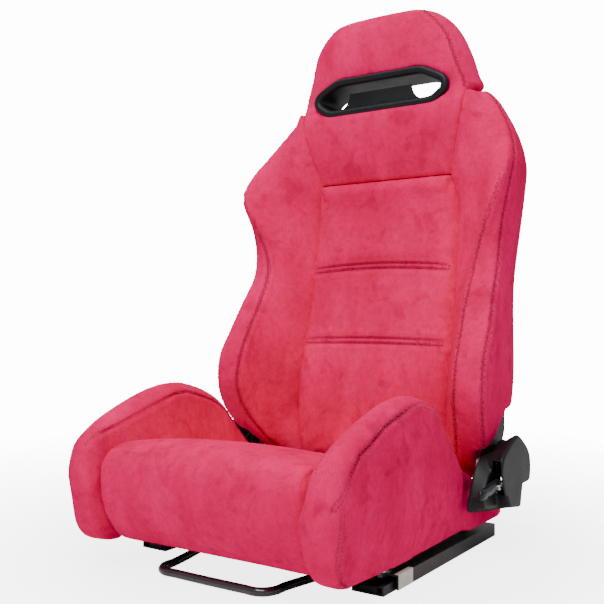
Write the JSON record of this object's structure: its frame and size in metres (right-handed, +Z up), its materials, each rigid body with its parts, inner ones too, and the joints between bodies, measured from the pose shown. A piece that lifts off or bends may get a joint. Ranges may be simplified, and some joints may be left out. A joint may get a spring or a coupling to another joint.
{
  "type": "racing seat",
  "caption": "Bucket-style reclining sports seat with bolstered cushion and back, slotted head part, recliner lever, slide rails and slide release bar.",
  "frame": {"origin": "centre of the four floor bolt holes in the lower rails, on the floor", "axes": "+Z up, the occupant faces -Y, +X is the occupant's left, where the recliner lever is"},
  "size_m": [0.55, 0.657, 0.918],
  "materials": {
    "suede": "brushed suede with a mottled nap",
    "rail_paint": "semi-gloss black",
    "frame_paint": "satin black",
    "bar_gloss": "gloss black",
    "zinc": "bright zinc plate",
    "spring_steel": "phosphated wire",
    "black_plastic": "fine-grained satin",
    "gloss_plastic": "gloss",
    "rubber": "matte",
    "label": "blank paper label"
  },
  "bodies": {
    "base": {"left_lower_rail": "rail_paint", "right_lower_rail": "rail_paint", "rail_end_stops": "rubber"},
    "seat": {"left_upper_rail": "rail_paint", "right_upper_rail": "rail_paint", "slide_balls": "zinc", "rail_bolts": "zinc", "rail_spacers": "zinc", "rail_label": "label", "seat_pan": "frame_paint", "seat_springs": "spring_steel", "front_cross_tube": "frame_paint", "rear_cross_tube": "frame_paint", "cushion_centre": "suede", "left_cushion_bolster": "suede", "right_cushion_bolster": "suede", "left_side_plate": "frame_paint", "right_side_plate": "frame_paint", "pivot_bolts": "zinc", "recliner_spring": "spring_steel", "left_recliner_cover": "black_plastic", "right_pivot_cover": "black_plastic", "cover_screws": "zinc"},
    "backrest": {"back_frame": "frame_paint", "left_hinge_arm": "frame_paint", "right_hinge_arm": "frame_paint", "arm_bolts": "zinc", "back_springs": "spring_steel", "recliner_sector": "zinc", "back_insert": "suede", "left_back_bolster": "suede", "right_back_bolster": "suede", "headrest_pad": "suede", "slot_bezel": "black_plastic", "slot_bridge": "black_plastic", "back_panel": "suede", "back_apron": "suede"},
    "recliner_lever": {"lever_shaft": "zinc", "recliner_pawl": "zinc", "lever_handle": "gloss_plastic", "lever_screw": "zinc"},
    "slide_bar": {"slide_bar": "bar_gloss", "slide_latches": "zinc"}
  },
  "joints": [
    {"name": "seat_slide", "type": "slide", "parent": "base", "child": "seat", "axis": [0, -1, 0], "range_m": [-0.1, 0.06]},
    {"name": "back_recline", "type": "hinge", "parent": "seat", "child": "backrest", "pos_m": [0, 0.14, 0.126], "axis": [-1, 0, 0], "range_deg": [-10, 58]},
    {"name": "lever_lift", "type": "hinge", "parent": "seat", "child": "recliner_lever", "pos_m": [0.25, 0.1, 0.104], "axis": [-1, 0, 0], "range_deg": [0, 28], "stiffness_Nm_per_rad": 2, "springref_deg": -17.19},
    {"name": "bar_lift", "type": "hinge", "parent": "seat", "child": "slide_bar", "pos_m": [0, -0.04, 0.011], "axis": [-1, 0, 0], "range_deg": [0, 5]}
  ]
}
